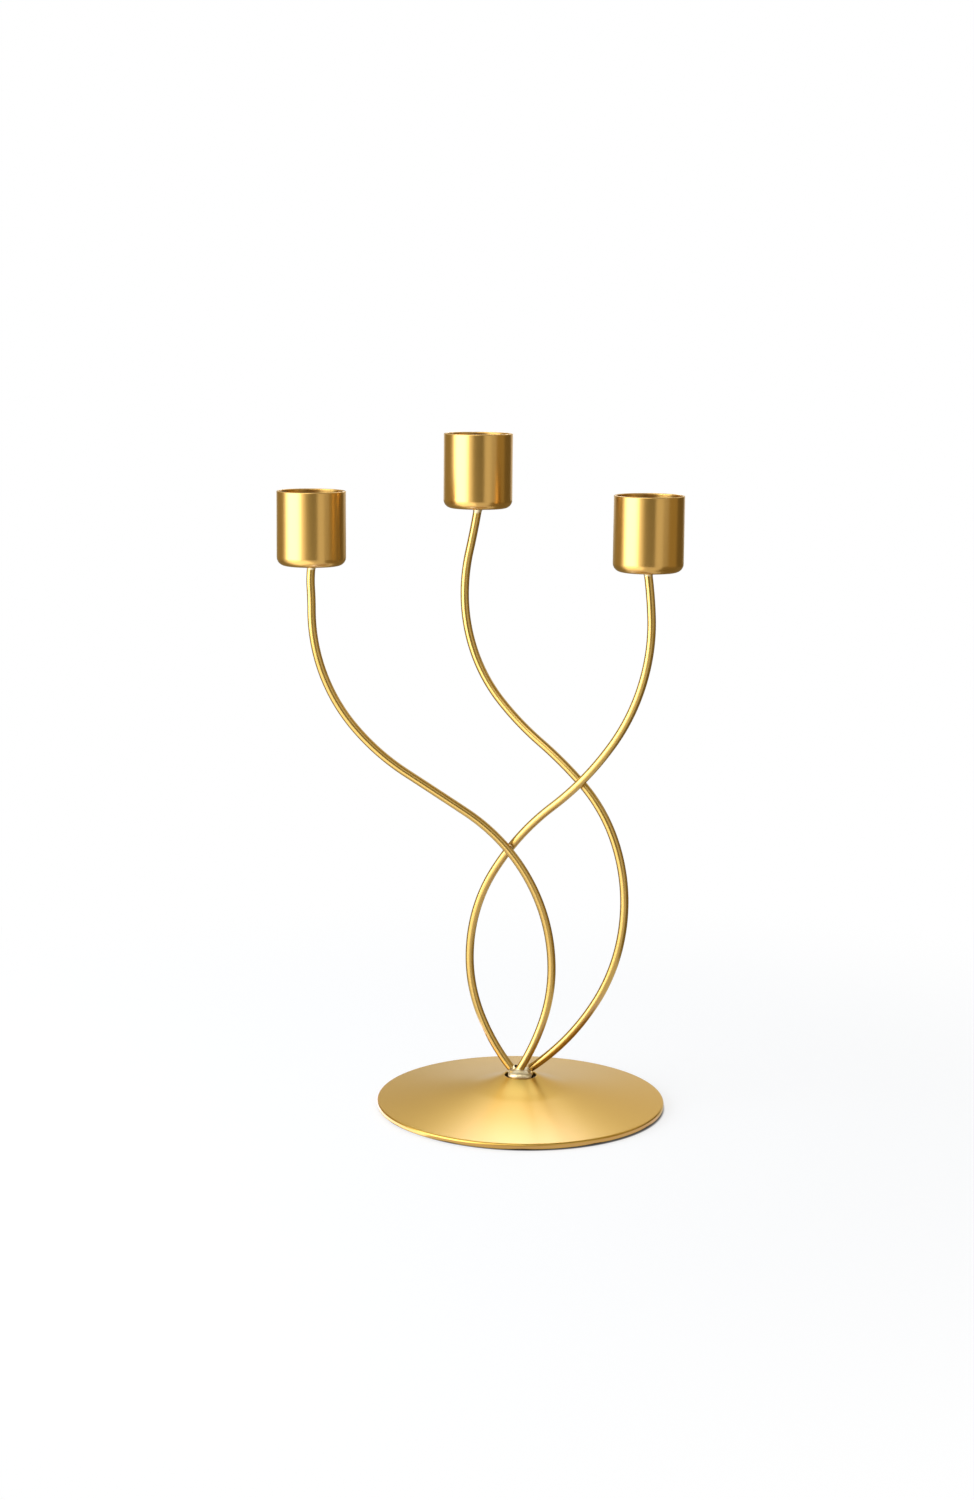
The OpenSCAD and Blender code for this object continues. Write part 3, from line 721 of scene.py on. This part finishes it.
# Painted contact shadow: the floor's glow drops low inside a ring round a middle set a little to the right
# of the stand.
aside = start.node("VectorMath", {"operation": "SUBTRACT"}, {0: place, 1: painted_shadow_middle})
from_painted_shadow_middle = start.node("VectorMath", {"operation": "LENGTH"}, {0: aside}, 1)
painted_shadow_glow = start.node("MapRange", {"interpolation_type": "SMOOTHSTEP"}, {
    "Value": from_painted_shadow_middle, "From Min": painted_shadow_r, "From Max": painted_shadow_end_r, "To Min": glow_in_painted_shadow, "To Max": glow_past_painted_shadow})
white = start.node("Emission", inputs={"Strength": 1.0})
lit = start.node("BsdfDiffuse", inputs={"Color": table_grey})
glow = start.node("Emission", inputs={"Strength": painted_shadow_glow})
near = start.node("AddShader", inputs={0: lit, 1: glow})
shown = start.node("MixShader", inputs={0: far, 1: near, 2: white})
bounce = start.node("BsdfDiffuse", inputs={"Color": bounce_grey})
surface = start.node("MixShader", inputs={0: seen(start), 1: bounce, 2: shown})
end = table.node_tree.nodes.new("ShaderNodeOutputMaterial")
table.node_tree.links.new(surface.socket, end.inputs["Surface"])
floor.data.materials.append(table)

# Studio light: a pale room, a large soft box at the left, and two lamps high behind that shine
# past the wires. Cards that only gloss sees give the gold its bright and deep bands, and the
# lowest of them shine up into the edge of the plate.
room_light = 0.45
world = bpy.data.worlds.new("studio")
bpy.context.scene.world = world
world.use_nodes = True
sky = world.node_tree.nodes["Background"]
sky.inputs["Color"].default_value = (1, 1, 1, 1)
strength = seen(Socket(world.node_tree)) * (1 - room_light) + room_light
world.node_tree.links.new(strength.socket, sky.inputs["Strength"])


def toward(azimuth, elevation, distance, origin=(0, 0, 0.1)):
    """A place seen from the stand, by its angle from the camera's side, to the right, and up."""
    a, e = math.radians(azimuth), math.radians(elevation)
    heading = Vector((math.sin(a) * math.cos(e), -math.cos(a) * math.cos(e), math.sin(e)))
    return Vector(origin) + distance * heading


def soft_box(name, place, aim_at, wide, high, radiance, colour, plateau):
    """An area lamp aimed at a point, brightest over the middle share of its face."""
    lamp = bpy.data.lights.new(name, "AREA")
    lamp.shape = "RECTANGLE"
    lamp.size, lamp.size_y = wide, high
    lamp.energy = radiance * math.pi * wide * high
    lamp.color = colour
    lamp.use_nodes = True
    start = Socket(lamp.node_tree)
    face = start.node("NewGeometry", output="Parametric")
    glow = 1
    for axis, share in enumerate(plateau):
        off = three_ways(start, face)[axis] * 2 - 1
        glow = start.node("MapRange", {"interpolation_type": "SMOOTHSTEP"}, {
            "Value": off.math("ABSOLUTE", off), "From Min": share, "From Max": 1.0,
            "To Min": 1.0, "To Max": 0.0}) * glow
    lamp.node_tree.links.new(glow.socket, lamp.node_tree.nodes["Emission"].inputs["Strength"])
    box = placed(name, lamp)
    box.location = place
    box.rotation_euler = (Vector(aim_at) - place).to_track_quat("-Z", "Y").to_euler()
    return box


soft_box("left_box", toward(-61, 10, 0.9), aim_at=(0, 0, 0.16), wide=1.2, high=0.95,
         radiance=6.5, colour=(0.76, 0.84, 0.97), plateau=(0.36, 0.7))
plate_middle = (0, 0, 0)
back_box = soft_box("back_box", toward(179.2, 30.7, 1.0, plate_middle), plate_middle, wide=0.24,
                    high=0.16, radiance=10.4, colour=(0.64, 0.73, 1.0), plateau=(0.3, 0.3))
top_box = soft_box("top_box", toward(180, 60, 0.9, plate_middle), plate_middle, wide=0.7,
                   high=0.64, radiance=1.8, colour=(0.69, 0.84, 1.0), plateau=(0.3, 0.3))
let_through = bpy.data.collections.new("let_through")
for side in arms:
    let_through.objects.link(bpy.data.objects["arm_%s_bent" % side])
for entry in let_through.collection_objects:
    entry.light_linking.link_state = "EXCLUDE"
for box in (back_box, top_box):
    box.light_linking.blocker_collection = let_through


def card(name, azimuths, heights, distances, colour, strength, parts=12):
    """A curved card that only gloss sees, in one plain colour. It runs from one azimuth to the
    other, and from one height above the table and distance to the other."""
    build = bmesh.new()
    edge = []
    for k in range(parts + 1):
        a = azimuths[0] + (azimuths[1] - azimuths[0]) * k / parts
        edge.append([build.verts.new(toward(a, 0, d, (0, 0, h))) for h, d in zip(heights, distances)])
    for (a, b), (c, d) in zip(edge, edge[1:]):
        build.faces.new((a, c, d, b))
    paint, _, _ = new_material(name, {
        "Base Color": (0, 0, 0, 1), "Roughness": 1.0, "Specular IOR Level": 0.0,
        "Emission Color": (*colour, 1), "Emission Strength": strength})
    piece = placed(name, as_mesh(name, build))
    piece.data.materials.append(paint)
    piece.visible_camera = piece.visible_diffuse = piece.visible_shadow = False


cool_white, cream, ivory, straw = (0.95, 0.97, 1.0), (1.0, 0.93, 0.8), (1.0, 0.9, 0.7), (1.0, 0.88, 0.6)
amber, honey, brass = (1.0, 0.85, 0.5), (1.0, 0.82, 0.45), (1.0, 0.8, 0.4)
warm, blue, pale_blue = (1.0, 0.85, 0.55), (0.52, 0.56, 1.0), (0.62, 0.6, 1.0)
low, lowest = (0.003, 0.003), (0.0002, 0.0002)
by_the_edge, under_the_edge = (0.0535, 0.07), (0.0512, 0.0534)
card("camera_card", (-19, 20), (0.0, 0.5), (0.97, 0.97), amber, 0.08)
card("low_left_card", (-85, -12), low, (0.15, 0.8), cool_white, 2.5)
card("upper_left_card", (-60, 4), (0.7, 1.7), (0.9, 0.9), cool_white, 3.9)
card("back_left_card", (-146, -100), (0.0, 0.45), (0.8, 0.8), amber, 0.42)
card("far_left_card", (-178, -173), (0.23, 0.6), (1.2, 1.2), cream, 0.38)
card("side_left_card", (-173, -144), (0.2, 0.6), (1.2, 1.2), cream, 0.8)
card("right_card", (63, 98), (0.0, 1.0), (0.8, 0.8), brass, 0.48)
card("back_right_card", (98, 142), (0.0, 0.42), (0.8, 0.8), brass, 0.2)
card("far_right_card", (173, 178), (0.23, 0.6), (1.2, 1.2), cream, 0.62)
card("side_right_card", (140, 173), (0.2, 0.6), (1.2, 1.2), cream, 0.94)
card("low_back_left_card", (-180, -100), low, (0.12, 2.6), straw, 0.32)
card("low_right_card", (45, 180), low, (0.12, 2.6), honey, 0.28)
card("low_edge_card", (-150, -42), lowest, by_the_edge, blue, 5.2)
card("front_edge_card", (-42, 75), lowest, by_the_edge, pale_blue, 1.6)
# A nearly black ring under the rim of the plate, which the plate's edge mirrors as painted shade.
card("under_edge_card", (-180, 180), lowest, under_the_edge, ivory, 0.03)
card("overhead_card", (-180, 180), (1.3, 1.3), (0.02, 0.65), warm, 0.12)
card("upper_right_card", (30, 115), (0.7, 2.2), (0.85, 0.85), warm, 0.4)
